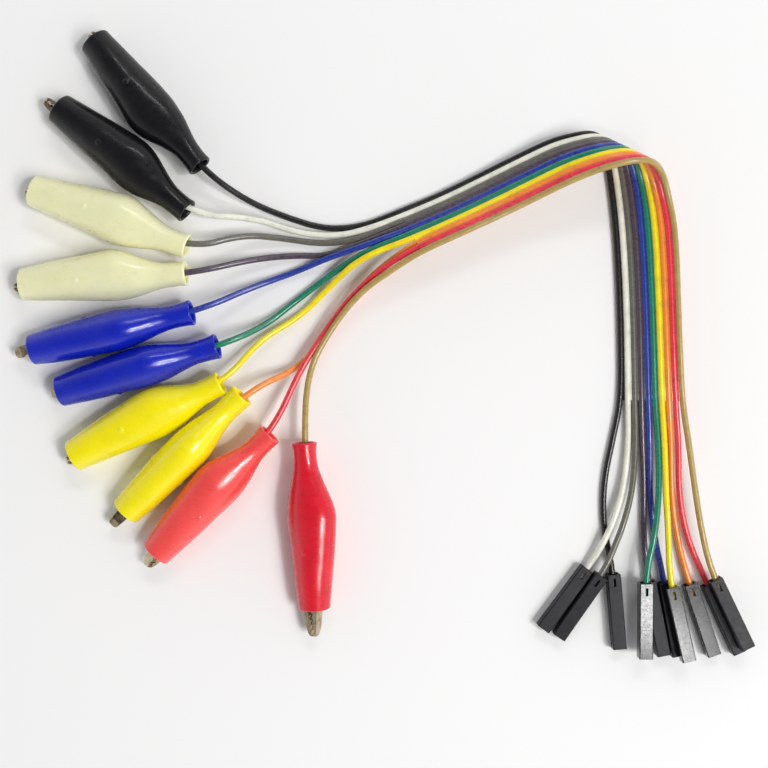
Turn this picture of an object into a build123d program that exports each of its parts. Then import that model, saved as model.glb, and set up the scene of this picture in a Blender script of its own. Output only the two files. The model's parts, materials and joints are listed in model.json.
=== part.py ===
from build123d import *
import math
import os

# Ten alligator clips on a rainbow ribbon lead, with a single-way socket housing on the other end
# of every wire. Millimetres, +Z up. The lead lies on Z = 0, with its origin under its middle.
#
# The clip frame, used for everything inside a boot: origin on the jaw pivot, +X to the jaw tips,
# +Y along the pivot pin and +Z the way the moving jaw opens. The housing frame: origin at the
# middle of the block, +X to the mating end, +Z out of the face with the latch window.

# --- Wires ---------------------------------------------------------------------------------
WIRE_DIAMETER = 1.16
COPPER_DIAMETER = 0.60
ARC_SHARE = 0.45  # of the shorter run beside a corner, taken up by the corner's arc

# --- Clip jaws -----------------------------------------------------------------------------
JAW_REACH = 15.0  # pivot to tips
TAIL_REACH = 13.0  # pivot to the back of the insulation crimp
METAL = 0.40  # sheet thickness
JAW_GAP = 0.12  # from the jaws' meeting plane to either jaw's edge
EAR_HALF_WIDTH = 2.20  # fixed jaw at the pivot
NOSE_HALF_WIDTH = 0.90
NOSE_HEIGHT = 0.82  # one jaw, just behind its tip
NOSE_RADIUS = 0.70  # the tip's corners, seen from above
NOSE_SLOPE = 0.42  # how much lower a jaw is at its very tip
NOSE_RUN = 1.30  # how far back the slope reaches
SIDE_GAP = 0.10  # fixed ear to moving ear
EAR_RADIUS = 1.30
FIXED_DEPTH = 1.90  # pivot down to the fixed jaw's back
BACK_RADIUS = 1.00  # the fixed jaw's folded corners
MOVING_DEPTH = 2.15  # pivot up to the moving jaw's back
HANDLE_REACH = 7.20  # pivot to the back edge of the moving jaw's handle
HANDLE_HEIGHT = 3.35
HANDLE_RISE = 0.70  # over the handle's flat
TAIL_DROP = 1.00  # wire axis down to the tail's underside
TOOTH_PITCH = 1.00
TOOTH_DEPTH = 0.42
TOOTH_COUNT = 10
TOOTH_FROM_TIP = 0.75
OPENING_ANGLE = 24.0

# --- Pivot pin and spring ------------------------------------------------------------------
PIN_RADIUS = 0.60
PIN_CLEARANCE = 0.05
PIN_HEAD_RADIUS = 0.95
PIN_HEAD_HEIGHT = 0.28
SPRING_WIRE_RADIUS = 0.20
SPRING_COIL_RADIUS = PIN_RADIUS + SPRING_WIRE_RADIUS + 0.22
SPRING_CORNERS = 10  # quarter turns, the two that lead into the legs included
SPRING_PITCH = 0.48
SPRING_CLEARANCE = 0.06
SPRING_CORNER_SHARE = 0.94  # of the coil's radius, taken up by each quarter turn's arc

# --- Wire's end in the clip ----------------------------------------------------------------
CRIMP_LENGTH = 1.80
CRIMP_WALL = 0.40
STRIPPED_LENGTH = 1.80
SOLDER_BASE_RADIUS = 0.90
SOLDER_TOP_RADIUS = 0.48
SOLDER_TOP = 0.42  # above the wire's axis
SOLDER_AT = 10.1  # behind the pivot

# --- Boot ----------------------------------------------------------------------------------
BOOT_WALL = 0.60
BOOT_REAR = 18.5  # pivot to the boot's rear rim when the tips show by NOMINAL_SHOW
BOOT_MOUTH = 12.5  # pivot to the mouth
NOMINAL_SHOW = 2.5
HANDLE_ROOM = 1.45  # above the handle, inside the boot
PIN_ROOM = 0.42  # beside a pin head, inside the boot
WIRE_ROOM = 1.05  # round the wire, inside the boot's neck
JAW_ROOM = 1.50  # round the jaws' backs, inside the boot

# --- Housing and its terminal --------------------------------------------------------------
HOUSING_LENGTH = 14.0
HOUSING_WIDTH = 2.54
HOUSING_WALL = 0.36
FRONT_WALL = 1.10
MOUTH_WIDTH = 1.00
MOUTH_CHAMFER = 0.22
HOUSING_CHAMFER = 0.15
WINDOW_LENGTH = 1.40
WINDOW_WIDTH = 0.45
WINDOW_FROM_REAR = 0.80
TERMINAL_GAP = 0.06
TERMINAL_WALL = 0.25
TERMINAL_LENGTH = 6.40  # the box that grips a header pin
TERMINAL_NECK = 1.30
TERMINAL_CRIMP = 1.70  # the ring that grips the wire
TERMINAL_CRIMP_WALL = 0.25
WIRE_LEAD_OUT = 1.50  # straight wire outside a housing
WIRE_EXIT = 1.00  # straight wire outside a boot

OVERSHOOT = 1.0  # how far a cutting tool runs past what it cuts

# --- Layout --------------------------------------------------------------------------------
# clip name: wire, boot's rear (x, y), heading in degrees, roll in degrees, how far the tips show
CLIPS = {
    "black_a": ("black", (-33.9, 33.1), 129.4, 90, 1.5),
    "black_b": ("white", (-36.3, 24.8), 141.6, -78, 3.0),
    "white_a": ("grey", (-36.2, 18.3), 160.5, -90, 1.3),
    "white_b": ("purple", (-36.4, 13.4), 184.2, -80, 1.5),
    "blue_a": ("blue", (-35.3, 6.2), 192.6, 14, 3.2),
    "blue_b": ("green", (-30.6, 0.0), 195.8, -6, 1.6),
    "yellow_a": ("yellow", (-30.0, -6.8), 206.7, -88, 1.5),
    "yellow_b": ("orange", (-26.1, -9.0), 224.6, 5, 3.6),
    "red_a": ("red", (-21.05, -16.15), 226.6, -55, 2.9),
    "red_b": ("brown", (-14.7, -17.8), 272.8, 66, 5.2),
}

# housing and wire colour: the block's middle (x, y, z), heading and dip of its mating end
HOUSINGS = {
    "black": ((43.5, -49.6, 1.27), -85.3, 0.0),
    "white": ((33.9, -47.2, 1.27), -126.5, 0.0),
    "grey": ((36.6, -48.5, 1.80), -124.0, 4.0),
    "purple": ((51.0, -50.9, 1.27), -79.1, 0.0),
    "blue": ((53.8, -51.0, 1.27), -79.5, 0.0),
    "green": ((48.4, -50.8, 3.90), -90.0, 2.0),
    "yellow": ((54.8, -51.4, 3.86), -77.2, 0.0),
    "orange": ((59.5, -51.1, 1.27), -71.4, 0.0),
    "red": ((63.6, -50.9, 1.27), -65.4, 0.0),
    "brown": ((64.3, -49.5, 3.86), -64.5, 0.0),
}

# The ribbon's wires are bonded side by side. Each station of the ribbon gives a point on its
# first wire and one on its last, and the others lie evenly between them.
RIBBON_ORDER = list(HOUSINGS)
RIBBON = [
    ((3.1, 25.4, 0.7), (6.8, 17.3, 6.7)),
    ((10.9, 28.6, 0.7), (14.1, 20.5, 7.3)),
    ((18.5, 32.3, 1.2), (21.5, 23.9, 7.3)),
    ((26.0, 35.9, 2.2), (28.8, 27.4, 8.1)),
    ((31.2, 38.2, 3.1), (33.9, 29.8, 9.3)),
    ((34.9, 39.0, 3.8), (39.2, 31.8, 10.4)),
    # the fold: over the top, round the edge and back underneath
    ((37.5, 39.4, 4.2), (44.6, 33.1, 11.0)),
    ((39.6, 39.3, 3.2), (48.5, 33.4, 9.5)),
    ((40.9, 38.5, 1.7), (51.0, 31.6, 6.7)),
    ((41.7, 36.7, 0.7), (52.4, 28.0, 4.9)),
    ((42.4, 32.5, 0.6), (53.6, 22.6, 4.6)),
    ((43.4, 24.6, 0.6), (54.1, 16.2, 4.4)),
    ((44.1, 14.4, 0.6), (54.4, 8.6, 4.2)),
    ((44.5, 2.6, 0.6), (54.8, -1.0, 4.0)),
    ((44.6, -10.0, 0.6), (55.4, -10.2, 3.4)),
]

# each wire's own points, from its boot to the ribbon
CLIP_SIDE = {
    "black": [(-25.5, 27.1, 2.0), (-18.0, 24.2, 0.7), (-11.0, 22.1, 0.6), (-4.0, 22.6, 0.6)],
    "white": [(-24.3, 24.2, 1.8), (-16.0, 21.3, 0.8), (-8.5, 20.8, 0.8), (-2.5, 22.2, 1.5)],
    "grey": [(-26.5, 20.9, 2.2), (-19.0, 20.4, 0.7), (-12.0, 19.3, 0.6), (-5.0, 19.9, 1.6)],
    "purple": [(-25.0, 16.3, 1.6), (-17.0, 17.2, 0.6), (-10.5, 17.0, 0.6), (-4.5, 19.1, 2.4)],
    "blue": [(-24.5, 11.2, 1.6), (-17.0, 13.9, 0.6), (-10.5, 16.6, 1.9), (-4.0, 18.6, 3.3)],
    "green": [(-22.2, 3.9, 1.8), (-16.6, 8.6, 0.6), (-10.2, 13.3, 1.2), (-4.0, 17.4, 3.5)],
    "yellow": [(-23.3, 1.2, 2.2), (-15.8, 5.6, 0.7), (-10.2, 11.2, 1.5), (-4.6, 16.3, 4.2)],
    "orange": [(-15.4, -3.9, 1.2), (-11.2, 2.9, 0.6), (-6.3, 9.1, 0.7), (-1.2, 14.3, 2.6)],
    "red": [(-15.9, -5.0, 3.6), (-11.2, 2.3, 3.0), (-6.4, 9.0, 3.4), (0.2, 14.9, 4.6)],
    "brown": [(-14.2, -5.0, 4.0), (-10.3, 2.6, 3.6), (-4.6, 9.9, 4.6), (1.8, 14.2, 5.8)],
}

# each wire's own points, from the ribbon to its housing
HOUSING_SIDE = {
    "black": [(43.0, -17.5, 0.6), (41.3, -25.5, 0.6), (41.2, -33.5, 0.6)],
    "white": [(45.9, -18.0, 1.0), (45.0, -26.0, 1.4), (43.2, -32.0, 2.0), (40.9, -37.0, 2.0)],
    "grey": [(47.2, -18.5, 1.3), (46.5, -27.0, 1.8), (44.6, -33.5, 2.4), (43.0, -37.3, 2.6)],
    "purple": [(48.5, -18.5, 1.2), (48.9, -27.0, 0.8), (48.7, -35.5, 0.9)],
    "blue": [(49.8, -18.5, 1.6), (49.9, -27.5, 1.0), (50.8, -35.8, 0.9)],
    "green": [(51.2, -18.5, 2.4), (51.2, -26.8, 3.0), (50.3, -34.8, 3.8)],
    "yellow": [(52.3, -18.5, 2.8), (52.4, -27.0, 3.2), (52.8, -35.5, 3.6)],
    "orange": [(53.6, -18.5, 2.2), (53.8, -27.0, 1.4), (54.9, -35.2, 0.9)],
    "red": [(54.95, -18.5, 2.6), (55.1, -27.3, 1.8), (56.8, -35.8, 1.1)],
    "brown": [(56.7, -18.6, 3.4), (57.8, -27.0, 3.5), (58.9, -34.3, 3.7)],
}


# --- Frames --------------------------------------------------------------------------------
def frame(origin, heading, dip, roll):
    """A frame at origin whose +X points along heading, dips below level and is rolled about +X."""
    level = Vector(1, 0, 0).rotate(Axis.Z, heading)
    side = Vector(0, 1, 0).rotate(Axis.Z, heading)
    forward = level * math.cos(math.radians(dip)) - Vector(0, 0, math.sin(math.radians(dip)))
    up = forward.cross(side)
    turn = math.radians(roll)
    return Plane(origin, x_dir=forward, z_dir=up * math.cos(turn) + side * math.sin(turn))


# --- Boot ----------------------------------------------------------------------------------
PIN_HALF_LENGTH = EAR_HALF_WIDTH + PIN_HEAD_HEIGHT
PIN_SIDE = PIN_HALF_LENGTH + PIN_ROOM + BOOT_WALL
NECK_HALF = WIRE_DIAMETER / 2 + WIRE_ROOM + BOOT_WALL
BULGE_TOP = HANDLE_HEIGHT + HANDLE_ROOM + BOOT_WALL
FIXED_SIDE = FIXED_DEPTH + JAW_ROOM + BOOT_WALL

# from the clip's pivot: x, half width along Y, underside and top along Z
BOOT_SECTIONS = [
    (-BOOT_REAR, NECK_HALF + 0.10, -NECK_HALF, NECK_HALF),
    (-BOOT_REAR + 4.5, NECK_HALF - 0.08, -NECK_HALF - 0.10, NECK_HALF + 0.10),
    (-HANDLE_REACH - 2.1, PIN_SIDE - 0.45, -FIXED_SIDE + 0.40, BULGE_TOP - 1.30),
    (-HANDLE_REACH + 2.4, PIN_SIDE + 0.25, -FIXED_SIDE, BULGE_TOP),
    (0.0, PIN_SIDE + 0.15, -FIXED_SIDE + 0.40, BULGE_TOP - 0.50),
    (BOOT_MOUTH - 5.5, PIN_SIDE - 0.15, -FIXED_SIDE + 0.95, BULGE_TOP - 1.30),
    (BOOT_MOUTH, PIN_SIDE - 0.65, -FIXED_SIDE + 1.40, BULGE_TOP - 2.15),
]


def boot_loft(inset, overshoot):
    """The boot's solid form, drawn in by inset and run on past both ends by overshoot."""
    stations = [list(s) for s in BOOT_SECTIONS]
    stations[0][0] -= overshoot
    stations[-1][0] += overshoot
    rings = []
    for x, half_width, low, high in stations:
        middle = Plane((x, 0, (low + high) / 2), x_dir=(0, 1, 0), z_dir=(1, 0, 0))
        rings.append(middle * Ellipse(half_width - inset, (high - low) / 2 - inset))
    return loft(rings)


def make_boot(slide):
    boot = boot_loft(0, 0) - boot_loft(BOOT_WALL, OVERSHOOT)
    return Pos(-slide, 0, 0) * boot


def drop_below_axis(section, roll):
    """How far a boot's section reaches below the clip's axis once the clip is rolled."""
    _, half_width, low, high = section
    turn = math.radians(roll)
    reach = math.hypot(half_width * math.sin(turn), (high - low) / 2 * math.cos(turn))
    return reach - (low + high) / 2 * math.cos(turn)


def clip_frame(clip):
    """Where a clip lies: its boot rests on its bulge and on the rim of its mouth."""
    _, rear, heading, roll, show = CLIPS[clip]
    slide = show - NOMINAL_SHOW
    bulge, mouth = BOOT_SECTIONS[3], BOOT_SECTIONS[-1]
    fall = drop_below_axis(bulge, roll) - drop_below_axis(mouth, roll)
    dip = math.degrees(math.atan(fall / (mouth[0] - bulge[0])))
    lying = frame((0, 0, 0), heading, dip, roll)
    lowest = (lying.location * boot_loft(0, 0)).bounding_box().min.Z
    pivot = Vector(*rear) + lying.x_dir * (BOOT_REAR + slide)
    return Plane(Vector(pivot.X, pivot.Y, -lowest), x_dir=lying.x_dir, z_dir=lying.z_dir)


# --- Jaws ----------------------------------------------------------------------------------
def prism_xz(points, half_width):
    """A side view, as (x, z) points, pulled out to both sides of the clip's middle plane."""
    face = Plane.XZ * make_face(Polyline(*points, close=True))
    return extrude(face, half_width, both=True)


def prism_xy(stations, inset, nose_radius):
    """A plan view, as (x, half width) stations from tail to tip, pulled up and down."""
    sides = [(x, half - inset) for x, half in stations]
    outline = sides + [(x, -half) for x, half in reversed(sides)]
    face = make_face(Polyline(*outline, close=True))
    if nose_radius:
        face = fillet(face.vertices().sort_by(Axis.X)[-2:], nose_radius)
    return extrude(face, 2 * HANDLE_HEIGHT, both=True)


def teeth(edge, way, phase):
    """Notches across a jaw's edge, cut from the meeting plane away in the direction of way."""
    notches = []
    for i in range(TOOTH_COUNT):
        x = JAW_REACH - TOOTH_FROM_TIP - (i + phase) * TOOTH_PITCH
        deep = edge + way * TOOTH_DEPTH
        clear = edge - way * TOOTH_DEPTH
        valley = [(x - TOOTH_PITCH, clear), (x, deep), (x + TOOTH_PITCH, clear)]
        notches.append(prism_xz(valley, EAR_HALF_WIDTH + OVERSHOOT))
    return notches


def folded(half_width, depth, radius):
    """A channel's outside, as long as a clip and open at the top, with rounded corners below."""
    height = 4 * HANDLE_HEIGHT
    section = Plane.YZ * Pos(0, height / 2 - depth) * RectangleRounded(2 * half_width, height, radius)
    return extrude(section, JAW_REACH + TAIL_REACH, both=True)


def pin_hole(radius):
    return Rot(90, 0, 0) * Cylinder(radius, 2 * (PIN_HALF_LENGTH + OVERSHOOT))


def make_fixed_jaw():
    edge = -JAW_GAP
    nose = edge - NOSE_HEIGHT
    back = [
        (JAW_REACH, nose + NOSE_SLOPE),
        (JAW_REACH - NOSE_RUN, nose),
        (JAW_REACH - 7.0, -FIXED_DEPTH + 0.45),
        (0, -FIXED_DEPTH),
        (-6.0, -FIXED_DEPTH + 0.40),
        (-TAIL_REACH + 2.6, -TAIL_DROP),
        (-TAIL_REACH, -TAIL_DROP),
    ]
    rim = [
        (-TAIL_REACH, -TAIL_DROP + METAL),
        (-TAIL_REACH + 2.6, -TAIL_DROP + METAL),
        (-6.0, -FIXED_DEPTH + 1.30),
        (-2.4, -FIXED_DEPTH + 1.50),
        (-EAR_RADIUS, 0.30),
        (-0.75, EAR_RADIUS),
        (0.75, EAR_RADIUS),
        (EAR_RADIUS, 0.30),
        (2.2, edge),
        (JAW_REACH, edge),
    ]
    plan = [
        (-TAIL_REACH, WIRE_DIAMETER / 2 + CRIMP_WALL),
        (-TAIL_REACH + 3.4, 1.15),
        (-5.5, EAR_HALF_WIDTH - 0.30),
        (-2.0, EAR_HALF_WIDTH),
        (2.0, EAR_HALF_WIDTH),
        (3.4, EAR_HALF_WIDTH - 0.40),
        (JAW_REACH, NOSE_HALF_WIDTH),
    ]
    hollow = [(x, z + METAL) for x, z in back]
    hollow[0] = (JAW_REACH - METAL, hollow[0][1])
    hollow[-1] = (-TAIL_REACH - OVERSHOOT, hollow[-1][1])
    hollow += [(-TAIL_REACH - OVERSHOOT, HANDLE_HEIGHT), (JAW_REACH - METAL, HANDLE_HEIGHT)]
    outside = folded(EAR_HALF_WIDTH, FIXED_DEPTH, BACK_RADIUS)
    inside = folded(EAR_HALF_WIDTH - METAL, FIXED_DEPTH - METAL, BACK_RADIUS - METAL)
    jaw = prism_xz(back + rim, EAR_HALF_WIDTH) & prism_xy(plan, 0, NOSE_RADIUS) & outside
    jaw -= prism_xz(hollow, EAR_HALF_WIDTH) & prism_xy(plan, METAL, 0) & inside
    jaw -= [pin_hole(PIN_RADIUS), *teeth(edge, -1, 0)]
    along_wire = Pos(-TAIL_REACH + CRIMP_LENGTH / 2, 0, 0) * Rot(0, 90, 0)
    ring = along_wire * Cylinder(WIRE_DIAMETER / 2 + CRIMP_WALL, CRIMP_LENGTH)
    bore = along_wire * Cylinder(WIRE_DIAMETER / 2, CRIMP_LENGTH + OVERSHOOT)
    return jaw + ring - bore


def make_moving_jaw():
    edge = JAW_GAP
    nose = edge + NOSE_HEIGHT
    back = [
        (JAW_REACH, nose - NOSE_SLOPE),
        (JAW_REACH - NOSE_RUN, nose),
        (JAW_REACH - 7.0, MOVING_DEPTH - 0.50),
        (2.0, MOVING_DEPTH),
        (-3.0, HANDLE_HEIGHT - HANDLE_RISE),
        (-HANDLE_REACH, HANDLE_HEIGHT),
    ]
    rim = [
        (-HANDLE_REACH, HANDLE_HEIGHT - METAL),
        (-3.4, HANDLE_HEIGHT - 2.00),
        (-EAR_RADIUS, -0.30),
        (-0.75, -EAR_RADIUS + 0.20),
        (0.75, -EAR_RADIUS + 0.20),
        (EAR_RADIUS, -0.30),
        (2.6, edge),
        (JAW_REACH, edge),
    ]
    inner_ear = EAR_HALF_WIDTH - METAL - SIDE_GAP
    plan = [
        (-HANDLE_REACH, inner_ear - 0.15),
        (-2.0, inner_ear),
        (2.9, inner_ear),
        (3.4, EAR_HALF_WIDTH - 0.40),
        (JAW_REACH, NOSE_HALF_WIDTH),
    ]
    hollow = [(x, z - METAL) for x, z in back]
    hollow[0] = (JAW_REACH - METAL, hollow[0][1])
    slope = (back[-1][1] - back[-2][1]) / (back[-2][0] - back[-1][0])
    hollow[-1] = (-HANDLE_REACH - OVERSHOOT, hollow[-1][1] + slope * OVERSHOOT)
    hollow += [(-HANDLE_REACH - OVERSHOOT, -HANDLE_HEIGHT), (JAW_REACH - METAL, -HANDLE_HEIGHT)]
    jaw = prism_xz(back + rim, EAR_HALF_WIDTH) & prism_xy(plan, 0, NOSE_RADIUS)
    jaw -= prism_xz(hollow, EAR_HALF_WIDTH) & prism_xy(plan, METAL, 0)
    return jaw - [pin_hole(PIN_RADIUS + PIN_CLEARANCE), *teeth(edge, 1, 0.5)]


# --- Pin, spring, copper and solder --------------------------------------------------------
def make_pin():
    pin = Rot(90, 0, 0) * Cylinder(PIN_RADIUS, 2 * EAR_HALF_WIDTH)
    for side in (-1, 1):
        head = Cone(PIN_HEAD_RADIUS, PIN_RADIUS, PIN_HEAD_HEIGHT)
        middle = side * (EAR_HALF_WIDTH + PIN_HEAD_HEIGHT / 2)
        pin += Pos(0, middle, 0) * Rot(-90 * side, 0, 0) * head
    return pin


def rod(start, end, radius):
    """A round bar between two points."""
    start, end = Vector(*start), Vector(*end)
    along = end - start
    return Plane(start, z_dir=along).location * Cylinder(
        radius, along.length, align=(Align.CENTER, Align.CENTER, Align.MIN)
    )


def make_spring():
    """Coils round the pin, and two legs that push the handle and the tail apart."""
    reach = SPRING_COIL_RADIUS
    quarter_turns = [(reach, -reach), (reach, reach), (-reach, reach), (-reach, -reach)]
    side = SPRING_PITCH * (SPRING_CORNERS - 1) / 8
    coil = []
    for i in range(SPRING_CORNERS):
        x, z = quarter_turns[i % 4]
        coil.append((x, i * SPRING_PITCH / 4 - side, z))
    clear = METAL + SPRING_CLEARANCE + SPRING_WIRE_RADIUS
    tail_floor = -FIXED_DEPTH + 0.40 + clear
    handle_slope = HANDLE_RISE / (HANDLE_REACH - 3.0)
    handle_roof = HANDLE_HEIGHT - (HANDLE_REACH - 6.0) * handle_slope - clear
    points = [(-5.5, -side, tail_floor), *coil, (-6.0, side, handle_roof)]
    path = FilletPolyline(*points, radius=SPRING_CORNER_SHARE * reach)
    return sweep(Plane(path @ 0, z_dir=path % 0) * Circle(SPRING_WIRE_RADIUS), path=path)


WIRE_END = -TAIL_REACH + CRIMP_LENGTH + 0.2  # where the insulation stops, in the clip frame


def make_copper():
    return rod((WIRE_END, 0, 0), (WIRE_END + STRIPPED_LENGTH, 0, 0), COPPER_DIAMETER / 2)


def make_solder(fixed_jaw, copper):
    height = TAIL_DROP + SOLDER_TOP
    mound = Cone(SOLDER_BASE_RADIUS, SOLDER_TOP_RADIUS, height)
    mound = Pos(-SOLDER_AT, 0, SOLDER_TOP - height / 2) * mound
    kept = (mound - fixed_jaw - copper).solids().sort_by(SortBy.VOLUME)
    return kept[-1]


# --- Housing and terminal ------------------------------------------------------------------
CAVITY_WIDTH = HOUSING_WIDTH - 2 * HOUSING_WALL
HOUSING_REAR = -HOUSING_LENGTH / 2
WINDOW_MIDDLE = HOUSING_REAR + WINDOW_FROM_REAR + WINDOW_LENGTH / 2
TERMINAL_FRONT = HOUSING_LENGTH / 2 - FRONT_WALL
TERMINAL_BACK = TERMINAL_FRONT - TERMINAL_LENGTH
CRIMP_FRONT = TERMINAL_BACK - TERMINAL_NECK
CRIMP_BACK = CRIMP_FRONT - TERMINAL_CRIMP


def block(x_from, x_to, width, height):
    """A block along X, centred on the housing's axis."""
    return Pos((x_from + x_to) / 2, 0, 0) * Box(x_to - x_from, width, height)


def make_housing():
    body = Box(HOUSING_LENGTH, HOUSING_WIDTH, HOUSING_WIDTH)
    body = chamfer(body.edges().filter_by(Axis.X), HOUSING_CHAMFER)
    cavity = block(HOUSING_REAR - OVERSHOOT, TERMINAL_FRONT, CAVITY_WIDTH, CAVITY_WIDTH)
    mouth = block(TERMINAL_FRONT - OVERSHOOT, HOUSING_LENGTH / 2 + OVERSHOOT, MOUTH_WIDTH, MOUTH_WIDTH)
    window = Pos(WINDOW_MIDDLE, 0, HOUSING_WIDTH / 2) * Box(WINDOW_LENGTH, WINDOW_WIDTH, HOUSING_WIDTH)
    body -= [cavity, mouth, window]
    front = body.faces().sort_by(Axis.X)[-1]
    return chamfer(front.inner_wires()[0].edges(), MOUTH_CHAMFER)


def make_terminal():
    """A box that grips a square header pin, a neck, and a ring that grips the wire."""
    width = CAVITY_WIDTH - 2 * TERMINAL_GAP
    box = block(TERMINAL_BACK, TERMINAL_FRONT, width, width)
    hole = width - 2 * TERMINAL_WALL
    box -= block(TERMINAL_BACK + TERMINAL_WALL, TERMINAL_FRONT + OVERSHOOT, hole, hole)
    ring_radius = WIRE_DIAMETER / 2 + TERMINAL_CRIMP_WALL
    neck = block(CRIMP_FRONT, TERMINAL_BACK, COPPER_DIAMETER, TERMINAL_WALL)
    neck = Pos(0, 0, -ring_radius + TERMINAL_WALL / 2) * neck
    middle = Pos((CRIMP_BACK + CRIMP_FRONT) / 2, 0, 0) * Rot(0, 90, 0)
    ring = middle * Cylinder(ring_radius, TERMINAL_CRIMP)
    bore = middle * Cylinder(WIRE_DIAMETER / 2, TERMINAL_CRIMP + OVERSHOOT)
    return box + neck + (ring - bore)


def make_crimped_copper():
    return rod((CRIMP_FRONT, 0, 0), (TERMINAL_BACK, 0, 0), COPPER_DIAMETER / 2)


# --- Wires ---------------------------------------------------------------------------------
def wire_route(colour, clip_plane, slide, housing_plane):
    """A wire's points, from the crimp in its clip to the crimp in its housing."""
    share = RIBBON_ORDER.index(colour) / (len(RIBBON_ORDER) - 1)
    ribbon = [Vector(*a) + (Vector(*b) - Vector(*a)) * share for a, b in RIBBON]
    start = [
        clip_plane.from_local_coords(Vector(WIRE_END, 0, 0)),
        clip_plane.from_local_coords(Vector(-BOOT_REAR - slide - WIRE_EXIT, 0, 0)),
    ]
    end = [
        housing_plane.from_local_coords(Vector(HOUSING_REAR - WIRE_LEAD_OUT, 0, 0)),
        housing_plane.from_local_coords(Vector(CRIMP_FRONT, 0, 0)),
    ]
    near_clip = [Vector(*p) for p in CLIP_SIDE[colour]]
    near_housing = [Vector(*p) for p in HOUSING_SIDE[colour]]
    return start + near_clip + ribbon + near_housing + end


def bend_radii(points):
    """Each corner's radius: as large as the shorter of its two runs allows."""
    radii = []
    for before, corner, after in zip(points, points[1:], points[2:]):
        run_in, run_out = corner - before, after - corner
        half_turn = math.radians(run_in.get_angle(run_out) / 2)
        radii.append(ARC_SHARE * min(run_in.length, run_out.length) / math.tan(half_turn))
    return radii


def make_wire(colour, points):
    radii = bend_radii(points)
    path = FilletPolyline(*points, radius=radii)
    tube = sweep(Plane(path @ 0, z_dir=path % 0) * Circle(WIRE_DIAMETER / 2), path=path)
    runs = [(b - a).length for a, b in zip(points, points[1:])]
    steps = [max(a, b) / min(a, b) for a, b in zip(runs, runs[1:])]
    expected = math.pi * (WIRE_DIAMETER / 2) ** 2 * path.length
    print(
        f"wire_{colour}: {path.length:.1f} long, {sum(runs):.1f} in runs, volume {tube.volume:.2f} "
        f"of {expected:.2f}, longest run {max(runs):.1f}, steepest step {max(steps):.2f}, "
        f"radii {' '.join(f'{r:.1f}' for r in radii)}"
    )
    return tube


# --- Assembly ------------------------------------------------------------------------------
def save(node, *solids):
    shape = solids[0] if len(solids) == 1 else Compound(children=list(solids))
    export_step(shape, f"parts/{node}.step")


def main():
    os.makedirs("parts", exist_ok=True)
    fixed_jaw, moving_jaw = make_fixed_jaw(), make_moving_jaw()
    pin, spring, copper = make_pin(), make_spring(), make_copper()
    solder = make_solder(fixed_jaw, copper)
    housing, terminal, crimped_copper = make_housing(), make_terminal(), make_crimped_copper()
    pins, springs, coppers, solders, terminals = [], [], [], [], []

    for clip, (colour, _, _, _, show) in CLIPS.items():
        slide = show - NOMINAL_SHOW
        plane = clip_frame(clip)
        place = plane.location
        save(f"boot_{clip}", place * make_boot(slide))
        save(f"fixed_jaw_{clip}", place * fixed_jaw)
        save(f"moving_jaw_{clip}", place * moving_jaw)
        pins.append(place * pin)
        springs.append(place * spring)
        coppers.append(place * copper)
        solders.append(place * solder)

        middle, heading, dip = HOUSINGS[colour]
        housing_plane = frame(middle, heading, dip, 0)
        save(f"housing_{colour}", housing_plane.location * housing)
        terminals.append(housing_plane.location * terminal)
        coppers.append(housing_plane.location * crimped_copper)
        save(f"wire_{colour}", make_wire(colour, wire_route(colour, plane, slide, housing_plane)))

        tip = plane.from_local_coords(Vector(JAW_REACH, 0, 0))
        print(
            f"clip_{clip}: pivot {tuple(plane.origin)}, pin {tuple(plane.y_dir)}, "
            f"forward {tuple(plane.x_dir)}, tip {tuple(tip)}"
        )

    save("pivot_pins", *pins)
    save("springs", *springs)
    save("stripped_wire_ends", *coppers)
    save("solder_joints", *solders)
    save("crimp_terminals", *terminals)


main()
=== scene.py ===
import json
import math

import bpy
from mathutils import Matrix, Vector, noise


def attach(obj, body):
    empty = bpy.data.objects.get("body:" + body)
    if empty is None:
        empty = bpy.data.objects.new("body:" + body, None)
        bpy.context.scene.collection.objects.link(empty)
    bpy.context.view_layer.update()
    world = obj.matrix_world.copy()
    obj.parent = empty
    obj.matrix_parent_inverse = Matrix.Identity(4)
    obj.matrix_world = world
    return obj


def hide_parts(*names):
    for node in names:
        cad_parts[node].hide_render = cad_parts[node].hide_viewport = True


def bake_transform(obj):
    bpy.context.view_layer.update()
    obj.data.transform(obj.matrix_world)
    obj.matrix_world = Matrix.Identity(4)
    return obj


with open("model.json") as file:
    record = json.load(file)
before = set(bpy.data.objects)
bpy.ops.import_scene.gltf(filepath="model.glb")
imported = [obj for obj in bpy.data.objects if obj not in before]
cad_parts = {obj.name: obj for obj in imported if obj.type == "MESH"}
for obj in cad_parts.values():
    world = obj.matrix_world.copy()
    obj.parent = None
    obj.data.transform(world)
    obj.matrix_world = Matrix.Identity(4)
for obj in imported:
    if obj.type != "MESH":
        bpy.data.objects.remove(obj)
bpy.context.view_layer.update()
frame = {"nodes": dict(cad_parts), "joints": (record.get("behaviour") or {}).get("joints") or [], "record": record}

MM = 0.001

# --- Camera and light ------------------------------------------------------------------------
CAMERA_AT = Vector((0.0, -7.0, 215.0)) * MM
CAMERA_LENS = 53.4
FLOOR_HALF = 2.0
FLOOR_COLOUR = (0.945, 0.945, 0.95)

# --- Wires, which repeat the CAD routes ------------------------------------------------------
WIRE_DIAMETER = 1.16
WEB_THICKNESS = 0.72  # between two wires of the ribbon
WIRE_END = -11.0  # where the insulation stops, from the clip's pivot
WIRE_EXIT = 1.0  # straight wire outside a boot
HOUSING_LENGTH = 14.0
CRIMP_FRONT = 8.8  # the terminal's wire crimp, behind the housing's mating end
WIRE_LEAD_OUT = 1.5  # straight wire outside a housing

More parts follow.
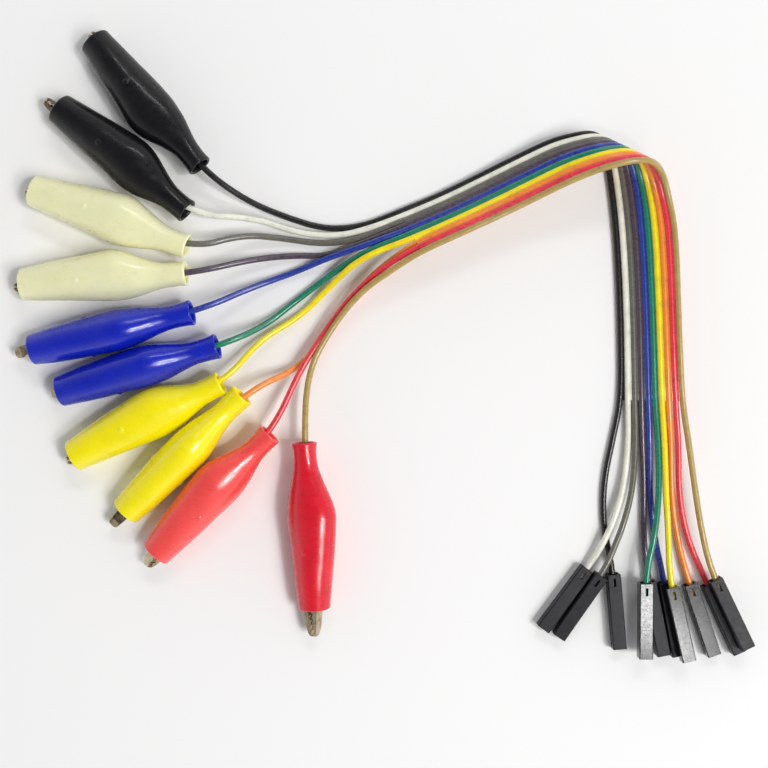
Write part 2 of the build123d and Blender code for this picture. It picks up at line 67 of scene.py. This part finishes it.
RIBBON = [
    ((3.1, 25.4, 0.7), (6.8, 17.3, 6.7)),
    ((10.9, 28.6, 0.7), (14.1, 20.5, 7.3)),
    ((18.5, 32.3, 1.2), (21.5, 23.9, 7.3)),
    ((26.0, 35.9, 2.2), (28.8, 27.4, 8.1)),
    ((31.2, 38.2, 3.1), (33.9, 29.8, 9.3)),
    ((34.9, 39.0, 3.8), (39.2, 31.8, 10.4)),
    ((37.5, 39.4, 4.2), (44.6, 33.1, 11.0)),
    ((39.6, 39.3, 3.2), (48.5, 33.4, 9.5)),
    ((40.9, 38.5, 1.7), (51.0, 31.6, 6.7)),
    ((41.7, 36.7, 0.7), (52.4, 28.0, 4.9)),
    ((42.4, 32.5, 0.6), (53.6, 22.6, 4.6)),
    ((43.4, 24.6, 0.6), (54.1, 16.2, 4.4)),
    ((44.1, 14.4, 0.6), (54.4, 8.6, 4.2)),
    ((44.5, 2.6, 0.6), (54.8, -1.0, 4.0)),
    ((44.6, -10.0, 0.6), (55.4, -10.2, 3.4)),
]

# wire: its clip, its length, its points from the boot to the ribbon and from there to the housing
WIRES = {
    "black": ("black_a", 176.2,
              [(-25.5, 27.1, 2.0), (-18.0, 24.2, 0.7), (-11.0, 22.1, 0.6), (-4.0, 22.6, 0.6)],
              [(43.0, -17.5, 0.6), (41.3, -25.5, 0.6), (41.2, -33.5, 0.6)]),
    "white": ("black_b", 178.4,
              [(-24.3, 24.2, 1.8), (-16.0, 21.3, 0.8), (-8.5, 20.8, 0.8), (-2.5, 22.2, 1.5)],
              [(45.9, -18.0, 1.0), (45.0, -26.0, 1.4), (43.2, -32.0, 2.0), (40.9, -37.0, 2.0)]),
    "grey": ("white_a", 178.1,
             [(-26.5, 20.9, 2.2), (-19.0, 20.4, 0.7), (-12.0, 19.3, 0.6), (-5.0, 19.9, 1.6)],
             [(47.2, -18.5, 1.3), (46.5, -27.0, 1.8), (44.6, -33.5, 2.4), (43.0, -37.3, 2.6)]),
    "purple": ("white_b", 179.7,
               [(-25.0, 16.3, 1.6), (-17.0, 17.2, 0.6), (-10.5, 17.0, 0.6), (-4.5, 19.1, 2.4)],
               [(48.5, -18.5, 1.2), (48.9, -27.0, 0.8), (48.7, -35.5, 0.9)]),
    "blue": ("blue_a", 182.7,
             [(-24.5, 11.2, 1.6), (-17.0, 13.9, 0.6), (-10.5, 16.6, 1.9), (-4.0, 18.6, 3.3)],
             [(49.8, -18.5, 1.6), (49.9, -27.5, 1.0), (50.8, -35.8, 0.9)]),
    "green": ("blue_b", 179.9,
              [(-22.2, 3.9, 1.8), (-16.6, 8.6, 0.6), (-10.2, 13.3, 1.2), (-4.0, 17.4, 3.5)],
              [(51.2, -18.5, 2.4), (51.2, -26.8, 3.0), (50.3, -34.8, 3.8)]),
    "yellow": ("yellow_a", 183.9,
               [(-23.3, 1.2, 2.2), (-15.8, 5.6, 0.7), (-10.2, 11.2, 1.5), (-4.6, 16.3, 4.2)],
               [(52.3, -18.5, 2.8), (52.4, -27.0, 3.2), (52.8, -35.5, 3.6)]),
    "orange": ("yellow_b", 184.8,
               [(-15.4, -3.9, 1.2), (-11.2, 2.9, 0.6), (-6.3, 9.1, 0.7), (-1.2, 14.3, 2.6)],
               [(53.6, -18.5, 2.2), (53.8, -27.0, 1.4), (54.9, -35.2, 0.9)]),
    "red": ("red_a", 185.4,
            [(-15.9, -5.0, 3.6), (-11.2, 2.3, 3.0), (-6.4, 9.0, 3.4), (0.2, 14.9, 4.6)],
            [(54.95, -18.5, 2.6), (55.1, -27.3, 1.8), (56.8, -35.8, 1.1)]),
    "brown": ("red_b", 185.2,
              [(-14.2, -5.0, 4.0), (-10.3, 2.6, 3.6), (-4.6, 9.9, 4.6), (1.8, 14.2, 5.8)],
              [(56.7, -18.6, 3.4), (57.8, -27.0, 3.5), (58.9, -34.3, 3.7)]),
}

# --- Boots, in millimetres, in the clip's frame ----------------------------------------------
BOOT_LENGTH = 31.0
BOOT_WALL = 0.6
# from the rear rim: distance, half width, underside, top
BOOT_SECTIONS = [
    (0.0, 2.45, -2.36, 2.36),
    (0.9, 2.30, -2.22, 2.22),
    (2.6, 2.17, -2.18, 2.18),
    (4.6, 2.17, -2.32, 2.34),
    (6.8, 2.50, -2.85, 3.05),
    (9.2, 3.05, -3.52, 4.10),
    (11.6, 3.50, -3.92, 5.05),
    (13.9, 3.74, -4.00, 5.40),
    (18.5, 3.66, -3.62, 4.92),
    (25.5, 3.34, -3.05, 4.06),
    (31.0, 2.86, -2.60, 3.25),
]
BOOT_STEP = 0.42
BOOT_SEGMENTS = 88
PIP_AT = 19.8
PIP_RADIUS = 0.55
PIP_HEIGHT = 0.17
PIP_HEIGHT_ON_AXIS = 0.6

# --- Spring, in the clip's frame --------------------------------------------------------------
SPRING_WIRE = 0.20
SPRING_RADIUS = 1.04
SPRING_TURNS = 2.5
SPRING_WIDTH = 1.08
SPRING_LOW_LEG = (-5.5, -0.84)
SPRING_HIGH_LEG = (-6.0, 2.49)

# --- Colours ---------------------------------------------------------------------------------
BOOT_COLOURS = {
    "black": (0.0060, 0.0055, 0.0070),
    "white": (0.98, 0.93, 0.56),
    "blue": (0.004, 0.016, 0.46),
    "yellow": (0.98, 0.85, 0.001),
    "red": (0.70, 0.008, 0.026),
    "coral_red": (0.90, 0.075, 0.070),
}
WIRE_COLOURS = {
    "black": (0.008, 0.008, 0.008),
    "white": (0.84, 0.84, 0.74),
    "grey": (0.135, 0.130, 0.108),
    "purple": (0.075, 0.052, 0.080),
    "blue": (0.014, 0.040, 0.33),
    "green": (0.001, 0.21, 0.12),
    "yellow": (0.95, 0.76, 0.003),
    "orange": (0.93, 0.27, 0.028),
    "red": (0.82, 0.036, 0.062),
    "brown": (0.44, 0.300, 0.088),
}
CORAL_CLIP = "red_a"  # the lighter of the two red boots
# the housings that get the lighter, glossier lit copy of the nylon (painted light)
LIT_SHINY_HOUSINGS = ("housing_green", "housing_yellow", "housing_orange")


# --- Frames ----------------------------------------------------------------------------------
JOINTS = {j["name"]: j for j in frame["joints"]}
MOUNTS = {m["name"]: m for m in frame["record"]["mounts"]}


def axes_matrix(origin, forward, side):
    """A frame at origin with +X along forward and +Y along side, scaled from mm to metres."""
    x, y = forward.normalized(), side.normalized()
    z = x.cross(y)
    turn = Matrix((x, y, z)).transposed().to_4x4()
    return Matrix.Translation(origin) @ turn @ Matrix.Scale(MM, 4)


def clip_matrix(clip):
    """The clip's frame: origin on the pivot, +X to the tips, +Y along the pin, +Z the opening way."""
    joint = JOINTS[f"jaw_hinge_{clip}"]
    grip = MOUNTS[f"jaw_grip_{clip}"]
    return axes_matrix(Vector(joint["pos_m"]), Vector(grip["axis"]), -Vector(joint["axis"]))


def boot_rear(clip):
    """How far the boot's rear rim lies behind the pivot, in mm."""
    to_clip = clip_matrix(clip).inverted()
    mesh = frame["nodes"][f"boot_{clip}"].data
    return min((to_clip @ v.co).x for v in mesh.vertices)


# --- Materials -------------------------------------------------------------------------------
def new_material(name):
    material = bpy.data.materials.new(name)
    material.use_nodes = True
    nodes = material.node_tree.nodes
    nodes.clear()
    output = nodes.new("ShaderNodeOutputMaterial")
    shader = nodes.new("ShaderNodeBsdfPrincipled")
    material.node_tree.links.new(shader.outputs[0], output.inputs["Surface"])
    return material, nodes, material.node_tree.links, shader


def noise_node(nodes, links, scale, detail, roughness=0.5, stretch=(1, 1, 1)):
    """Noise over the object's own metres. The scale is in cells per metre."""
    place = nodes.new("ShaderNodeTexCoord")
    mapping = nodes.new("ShaderNodeMapping")
    mapping.inputs["Scale"].default_value = stretch
    texture = nodes.new("ShaderNodeTexNoise")
    texture.inputs["Scale"].default_value = scale
    texture.inputs["Detail"].default_value = detail
    texture.inputs["Roughness"].default_value = roughness
    links.new(place.outputs["Object"], mapping.inputs["Vector"])
    links.new(mapping.outputs["Vector"], texture.inputs["Vector"])
    return texture


def ramp_node(nodes, links, source, stops):
    ramp = nodes.new("ShaderNodeValToRGB")
    elements = ramp.color_ramp.elements
    while len(elements) < len(stops):
        elements.new(0.5)
    for element, (place, colour) in zip(elements, stops):
        element.position = place
        element.color = (*colour, 1)
    links.new(source, ramp.inputs["Fac"])
    return ramp


def grey(value):
    return (value, value, value)


def shade(colour, factor):
    return tuple(min(1.0, c * factor) for c in colour)


def add_bump(nodes, links, shader, source, strength, distance):
    bump = nodes.new("ShaderNodeBump")
    bump.inputs["Strength"].default_value = strength
    bump.inputs["Distance"].default_value = distance
    links.new(source, bump.inputs["Height"])
    links.new(bump.outputs["Normal"], shader.inputs["Normal"])


def plastic(name, colour, dark, light, roughness, mottle, grain, grain_depth, coat=0.0, milky=0.0,
            ior=1.52):
    """Moulded plastic: mottled colour and gloss over a fine surface grain.

    Dark and light scale the colour in the mottle's extremes. Mottle and grain are in cells per
    metre, and the grain's depth is in metres.
    """
    material, nodes, links, shader = new_material(name)
    wide = noise_node(nodes, links, mottle, 4, 0.6)
    tint = ramp_node(nodes, links, wide.outputs["Fac"],
                     [(0.3, shade(colour, dark)), (0.5, colour), (0.72, shade(colour, light))])
    links.new(tint.outputs["Color"], shader.inputs["Base Color"])
    smear = noise_node(nodes, links, mottle * 2.3, 5, 0.65, (1, 1.6, 0.7))
    gloss = ramp_node(nodes, links, smear.outputs["Fac"],
                      [(0.3, grey(roughness * 0.75)), (0.7, grey(roughness * 1.35))])
    links.new(gloss.outputs["Color"], shader.inputs["Roughness"])
    fine = noise_node(nodes, links, grain, 2, 0.5)
    add_bump(nodes, links, shader, fine.outputs["Fac"], 0.2, grain_depth)
    shader.inputs["Coat Weight"].default_value = coat
    shader.inputs["Coat Roughness"].default_value = 0.09
    shader.inputs["IOR"].default_value = ior
    if milky:
        shader.inputs["Subsurface Weight"].default_value = milky
        shader.inputs["Subsurface Radius"].default_value = (1.0, 0.9, 0.6)
        shader.inputs["Subsurface Scale"].default_value = 0.0012
    return material


def metal(name, colour, stain, roughness, streak, stain_from=0.55, stain_to=0.8):
    """Plated or drawn metal, streaked by its rolling and tarnished in patches."""
    material, nodes, links, shader = new_material(name)
    shader.inputs["Metallic"].default_value = 1.0
    patches = noise_node(nodes, links, 620, 6, 0.65)
    tint = ramp_node(nodes, links, patches.outputs["Fac"],
                     [(0.25, shade(colour, 1.06)), (stain_from, colour), (stain_to, stain)])
    links.new(tint.outputs["Color"], shader.inputs["Base Color"])
    lines = noise_node(nodes, links, streak, 5, 0.7, (1, 0.16, 1))
    gloss = ramp_node(nodes, links, lines.outputs["Fac"],
                      [(0.3, grey(roughness * 0.7)), (0.7, grey(roughness * 1.5))])
    links.new(gloss.outputs["Color"], shader.inputs["Roughness"])
    add_bump(nodes, links, shader, lines.outputs["Fac"], 0.25, 0.00002)
    return material


def vinyl(colour, dark, light, mottle=260, grain_depth=0.000004, coat=0.3, milky=0.0, ior=1.52):
    """Soft boot vinyl: smooth and glossy, over a shallow grain."""
    roughness = 0.30 if colour in ("black", "white") else 0.28
    return plastic(f"boot_{colour}", BOOT_COLOURS[colour], dark, light, roughness, mottle, 1500,
                   grain_depth, coat, milky, ior)


BOOT_MATERIALS = {
    "black": vinyl("black", 0.80, 1.30, grain_depth=0.000005, coat=0.12, ior=1.38),
    "white": vinyl("white", 0.95, 1.02, mottle=200, milky=0.7),
    "blue": vinyl("blue", 0.88, 1.10, ior=1.44),
    "yellow": vinyl("yellow", 0.94, 1.02, coat=0.4),
    "red": vinyl("red", 0.88, 1.08, coat=0.4, ior=1.46),
    "coral_red": vinyl("coral_red", 0.92, 1.05, coat=0.5),
}
WIRE_MATERIALS = {
    c: plastic(f"wire_{c}", rgb, 0.84, 1.10, 0.28, 420, 3000, 0.000006, 0.12 if c == "black" else 0.5)
    for c, rgb in WIRE_COLOURS.items()
}
# painted light: one housing nylon in two copies, a lighter, glossier lit copy for the housings that catch the
# glare and a darker, bluer satin copy, painted shade, for the rest
SHADED_SATIN_NYLON = plastic("housing_nylon", (0.0085, 0.0080, 0.0120), 0.75, 1.5, 0.40, 900, 5000, 0.000004,
                      ior=1.36)
LIT_SHINY_NYLON = plastic("housing_nylon_shiny_lit", (0.0115, 0.0115, 0.0140), 0.75, 1.5, 0.17, 900, 5000, 0.000003)
JAW_MATERIAL = metal("jaw_nickel", (0.56, 0.47, 0.32), (0.20, 0.105, 0.035), 0.20, 2600, 0.48, 0.66)
PIN_MATERIAL = metal("pin_steel", (0.56, 0.55, 0.52), (0.30, 0.24, 0.17), 0.30, 3000)
SPRING_MATERIAL = metal("spring_steel", (0.42, 0.42, 0.43), (0.20, 0.17, 0.14), 0.28, 3600)
COPPER_MATERIAL = metal("tinned_copper", (0.78, 0.44, 0.26), (0.70, 0.66, 0.60), 0.32, 5200)
SOLDER_MATERIAL = metal("solder_bright", (0.66, 0.67, 0.69), (0.36, 0.35, 0.34), 0.22, 1500)
TERMINAL_MATERIAL = metal("terminal_bronze", (0.80, 0.72, 0.55), (0.62, 0.44, 0.22), 0.24, 3200)


def set_material(obj, material):
    obj.data.materials.clear()
    obj.data.materials.append(material)


# --- Mesh helpers ----------------------------------------------------------------------------
def smooth_value(table, column, u):
    """A Catmull-Rom curve through a table's rows, read at u in the first column."""
    for i in range(len(table) - 1):
        if u <= table[i + 1][0] or i == len(table) - 2:
            break
    p1, p2 = table[i], table[i + 1]
    p0, p3 = table[max(i - 1, 0)], table[min(i + 2, len(table) - 1)]
    span = p2[0] - p1[0]
    t = min(max((u - p1[0]) / span, 0.0), 1.0)

    def slope(a, b):
        return (b[column] - a[column]) / (b[0] - a[0]) * span if b[0] > a[0] else 0.0

    m1, m2 = slope(p0, p2), slope(p1, p3)
    a, b = p1[column], p2[column]
    return ((2 * t**3 - 3 * t**2 + 1) * a + (t**3 - 2 * t**2 + t) * m1
            + (-2 * t**3 + 3 * t**2) * b + (t**3 - t**2) * m2)


def ring_mesh(name, rings, matrix, closed_along):
    """A mesh of equal rings of points, joined ring to ring, and last to first when closed_along."""
    count = len(rings[0])
    vertices = [matrix @ Vector(p) for ring in rings for p in ring]
    faces = []
    last = len(rings) if closed_along else len(rings) - 1
    for i in range(last):
        a, b = i * count, (i + 1) % len(rings) * count
        for j in range(count):
            k = (j + 1) % count
            faces.append((a + j, a + k, b + k, b + j))
    if not closed_along:
        faces.append(tuple(range(count - 1, -1, -1)))
        faces.append(tuple(range(last * count, last * count + count)))
    mesh = bpy.data.meshes.new(name)
    mesh.from_pydata(vertices, [], faces)
    mesh.validate()
    mesh.polygons.foreach_set("use_smooth", [True] * len(mesh.polygons))
    obj = bpy.data.objects.new(name, mesh)
    bpy.context.scene.collection.objects.link(obj)
    return obj


# --- Boots -----------------------------------------------------------------------------------
def boot_angles():
    """Angles round a boot, twice as close together on its two sides, where the pips are."""
    turns = [2 * math.pi * j / BOOT_SEGMENTS for j in range(BOOT_SEGMENTS)]
    return [t - 0.22 * math.sin(2 * t) for t in turns]


def pip(u, y, z):
    """How far a small round moulded pip stands out of the boot's side."""
    away = math.hypot(u - PIP_AT, z - PIP_HEIGHT_ON_AXIS)
    if away > PIP_RADIUS:
        return 0.0
    return PIP_HEIGHT * (1 - (away / PIP_RADIUS) ** 4)


def boot_ring(u, inset, seed, outside):
    """One ring of a boot at u from its rear, drawn in by inset, with the vinyl's unevenness."""
    half = smooth_value(BOOT_SECTIONS, 1, u) - inset
    low = smooth_value(BOOT_SECTIONS, 2, u) + inset
    high = smooth_value(BOOT_SECTIONS, 3, u) - inset
    middle, reach = (low + high) / 2, (high - low) / 2
    ring = []
    for angle in boot_angles():
        y, z = half * math.cos(angle), middle + reach * math.sin(angle)
        out = Vector((0, math.cos(angle) * reach, math.sin(angle) * half)).normalized()
        dent = 0.16 * noise.noise(Vector((u / 7.5, y / 5.0, z / 5.0)) + seed)
        dent += 0.022 * noise.noise(Vector((u / 1.9, y / 1.6, z / 1.6)) + seed)
        fade = min(u / 3.0, (BOOT_LENGTH - u) / 4.0, 1.0)
        push = dent * max(fade, 0.15)
        if outside:
            push += pip(u, y, z)
        ring.append((u, y + out.y * push, z + out.z * push))
    return ring


def boot_stations():
    """A boot's section, along the outside, round the mouth's lip, back inside and round the rear.

    Each station is its distance from the rear, its inset and whether it lies on the outside.
    """
    lip = BOOT_WALL / 2
    outside = []
    u = lip
    while u < BOOT_LENGTH - lip:
        outside.append((u, 0.0))
        u += BOOT_STEP / 3 if abs(u - PIP_AT) < 2.2 * PIP_RADIUS else BOOT_STEP
    turns = [math.radians(a) for a in (0, 30, 60, 90, 120, 150, 180)]
    mouth = [(BOOT_LENGTH - lip + lip * math.sin(t), lip - lip * math.cos(t)) for t in turns]
    inside = []
    u = BOOT_LENGTH - lip - 2 * BOOT_STEP
    while u > lip + BOOT_STEP:
        inside.append((u, BOOT_WALL))
        u -= 2 * BOOT_STEP
    rear = [(lip - lip * math.sin(t), lip + lip * math.cos(t)) for t in turns[:-1]]
    return [(u, i, True) for u, i in outside] + [(u, i, False) for u, i in mouth + inside + rear]


def make_boot(clip, index):
    colour = clip.split("_")[0]
    rear = boot_rear(clip)
    matrix = clip_matrix(clip) @ Matrix.Translation((rear, 0, 0))
    seed = Vector((17.0 * index, 5.3 * index, 2.9 * index))
    rings = [boot_ring(u, inset, seed, outside) for u, inset, outside in boot_stations()]
    boot = ring_mesh(f"boot_skin_{clip}", rings, matrix, True)
    set_material(boot, BOOT_MATERIALS["coral_red" if clip == CORAL_CLIP else colour])
    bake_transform(boot)
    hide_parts(f"boot_{clip}")


# --- Springs ---------------------------------------------------------------------------------
def spring_path():
    """A torsion spring's centreline: a leg along the tail, the coil and a leg along the handle."""
    steps = int(SPRING_TURNS * 24)
    side = SPRING_WIDTH / 2
    coil = []
    for i in range(steps + 1):
        share = i / steps
        angle = -math.pi / 2 + 2 * math.pi * SPRING_TURNS * share
        coil.append(Vector((SPRING_RADIUS * math.cos(angle), -side + SPRING_WIDTH * share,
                            SPRING_RADIUS * math.sin(angle))))
    low, high = SPRING_LOW_LEG, SPRING_HIGH_LEG
    low_end, high_end = Vector((low[0], -side, low[1])), Vector((high[0], side, high[1]))
    low_leg = [low_end.lerp(coil[0], i / 10) for i in range(10)]
    high_leg = [coil[-1].lerp(high_end, i / 10) for i in range(1, 11)]
    return low_leg + coil + high_leg


def tube_rings(path, radius, sides):
    """Rings of points round a path, kept from twisting by carrying one ring's turn to the next."""
    rings = []
    across = None
    for i, point in enumerate(path):
        along = (path[min(i + 1, len(path) - 1)] - path[max(i - 1, 0)]).normalized()
        across = Vector((0, 1, 0)) if across is None else across
        across = (across - along * across.dot(along)).normalized()
        other = along.cross(across)
        turns = [2 * math.pi * j / sides for j in range(sides)]
        rings.append([point + (across * math.cos(t) + other * math.sin(t)) * radius for t in turns])
    return rings


def make_spring(clip):
    matrix = clip_matrix(clip)
    spring = ring_mesh(f"torsion_spring_{clip}", tube_rings(spring_path(), SPRING_WIRE, 12), matrix, False)
    set_material(spring, SPRING_MATERIAL)
    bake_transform(spring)
    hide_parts("springs")


# --- Wires -----------------------------------------------------------------------------------
def wire_points(colour):
    """The wire's control points, in metres, from its crimp in the clip to its crimp in the housing."""
    clip, _, near_clip, near_housing = WIRES[colour]
    share = list(WIRES).index(colour) / (len(WIRES) - 1)
    ribbon = [Vector(first).lerp(Vector(last), share) for first, last in RIBBON]
    to_row = clip_matrix(clip)
    start = [to_row @ Vector((WIRE_END, 0, 0)), to_row @ Vector((boot_rear(clip) - WIRE_EXIT, 0, 0))]
    socket = MOUNTS[f"pin_socket_{colour}"]
    front, forward = Vector(socket["pos_m"]), Vector(socket["axis"])
    end = [front - forward * (HOUSING_LENGTH + WIRE_LEAD_OUT) * MM, front - forward * CRIMP_FRONT * MM]
    middle = [Vector(p) * MM for p in near_clip + ribbon + near_housing]
    return start + middle + end


def make_cord(name, points, diameter, material):
    """A round cord along a smooth curve through the spans between its points."""
    curve = bpy.data.curves.new(name, "CURVE")
    curve.dimensions = "3D"
    curve.bevel_depth = diameter / 2 * MM
    curve.bevel_resolution = 5
    curve.resolution_u = 10
    curve.use_fill_caps = True
    spline = curve.splines.new("NURBS")
    spline.points.add(len(points) - 1)
    for point, place in zip(spline.points, points):
        point.co = (*place, 1)
    spline.order_u = 3
    spline.use_endpoint_u = True
    cord = bpy.data.objects.new(name, curve)
    bpy.context.scene.collection.objects.link(cord)
    set_material(cord, material)
    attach(cord, "lead")
    return cord


def make_web(index):
    """The thin web that bonds a ribbon wire to the next one, in the first one's colour."""
    colours = list(WIRES)
    share = (index + 0.5) / (len(colours) - 1)
    points = [Vector(first).lerp(Vector(last), share) * MM for first, last in RIBBON]
    name = f"web_{colours[index]}_{colours[index + 1]}"
    web = make_cord(name, points, WEB_THICKNESS, WIRE_MATERIALS[colours[index]])


def make_wire(colour):
    name = f"lead_wire_{colour}"
    wire = make_cord(name, wire_points(colour), WIRE_DIAMETER, WIRE_MATERIALS[colour])
    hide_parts(f"wire_{colour}")


# --- CAD nodes that stay ---------------------------------------------------------------------
def soften(obj, width, angle=25):
    """Rounds a CAD node's edges a little, as pressing and moulding leave them."""
    weld = obj.modifiers.new("weld", "WELD")
    weld.merge_threshold = 1e-6
    bevel = obj.modifiers.new("edges", "BEVEL")
    bevel.width = width * MM
    bevel.segments = 2
    bevel.limit_method = "ANGLE"
    bevel.angle_limit = math.radians(angle)
    bevel.harden_normals = True


def dress_cad_nodes():
    for name, obj in frame["nodes"].items():
        if name.startswith(("fixed_jaw_", "moving_jaw_")):
            set_material(obj, JAW_MATERIAL)
            soften(obj, 0.05)
        elif name.startswith("housing_"):
            # painted light: the lit copy of the nylon on the housings that catch the glare, the darker shaded copy
            # on the rest
            set_material(obj, LIT_SHINY_NYLON if name in LIT_SHINY_HOUSINGS else SHADED_SATIN_NYLON)
            soften(obj, 0.05)
    for name, material in (("pivot_pins", PIN_MATERIAL), ("stripped_wire_ends", COPPER_MATERIAL),
                           ("solder_joints", SOLDER_MATERIAL), ("crimp_terminals", TERMINAL_MATERIAL)):
        set_material(frame["nodes"][name], material)


# --- Stage, camera and light -----------------------------------------------------------------
def make_floor():
    material, nodes, links, shader = new_material("studio_floor")
    shader.inputs["Base Color"].default_value = (*FLOOR_COLOUR, 1)
    shader.inputs["Roughness"].default_value = 0.9
    shader.inputs["Specular IOR Level"].default_value = 0.1
    corners = [(-FLOOR_HALF, -FLOOR_HALF, 0), (FLOOR_HALF, -FLOOR_HALF, 0),
               (FLOOR_HALF, FLOOR_HALF, 0), (-FLOOR_HALF, FLOOR_HALF, 0)]
    mesh = bpy.data.meshes.new("studio_floor")
    mesh.from_pydata(corners, [], [(0, 1, 2, 3)])
    floor = bpy.data.objects.new("studio_floor", mesh)
    bpy.context.scene.collection.objects.link(floor)
    mesh.materials.append(material)


def add_light(name, place, target, size, size_y, power, colour):
    data = bpy.data.lights.new(name, "AREA")
    data.shape = "RECTANGLE"
    data.size, data.size_y = size, size_y
    data.energy = power
    data.color = colour
    light = bpy.data.objects.new(name, data)
    light.location = place
    light.rotation_euler = (Vector(target) - Vector(place)).to_track_quat("-Z", "Y").to_euler()
    bpy.context.scene.collection.objects.link(light)


def make_world():
    """A bright horizon under a dim zenith, so that flat black tops stay dark."""
    world = bpy.data.worlds.new("studio")
    world.use_nodes = True
    nodes, links = world.node_tree.nodes, world.node_tree.links
    place = nodes.new("ShaderNodeTexCoord")
    parts = nodes.new("ShaderNodeSeparateXYZ")
    links.new(place.outputs["Generated"], parts.inputs["Vector"])
    sky = ramp_node(nodes, links, parts.outputs["Z"],
                    [(0.0, grey(1.0)), (0.35, grey(0.50)), (0.8, grey(0.12)), (1.0, grey(0.09))])
    background = nodes["Background"]
    links.new(sky.outputs["Color"], background.inputs["Color"])
    background.inputs["Strength"].default_value = 1.3
    bpy.context.scene.world = world


def make_studio():
    make_world()
    add_light("key", (1.05, -0.50, 1.65), (0, 0, 0), 0.75, 0.75, 17.2, (1.0, 0.99, 0.97))
    add_light("spark", (0.62, -0.13, 1.10), (0, 0, 0), 0.12, 0.12, 2.6, (1.0, 1.0, 0.98))
    add_light("window", (0.10, 0.42, 0.46), (0, 0, 0), 0.30, 0.04, 0.54, (1.0, 1.0, 1.0))
    add_light("glare", (0.103, -0.108, 0.225), (0.05, -0.05, 0), 0.026, 0.026, 0.07, (1, 1, 1))


def make_camera():
    data = bpy.data.cameras.new("camera")
    data.lens = CAMERA_LENS
    data.sensor_width = 36.0
    data.clip_start = 0.005
    data.clip_end = 20.0
    camera = bpy.data.objects.new("camera", data)
    camera.location = CAMERA_AT
    bpy.context.scene.collection.objects.link(camera)
    bpy.context.scene.camera = camera


make_camera()
for colour in WIRES:
    make_wire(colour)
for index in range(len(WIRES) - 1):
    make_web(index)
for index, (clip, *_) in enumerate(WIRES.values()):
    make_boot(clip, index)
    make_spring(clip)
dress_cad_nodes()
make_floor()
make_studio()
bpy.context.scene.view_settings.view_transform = "Standard"
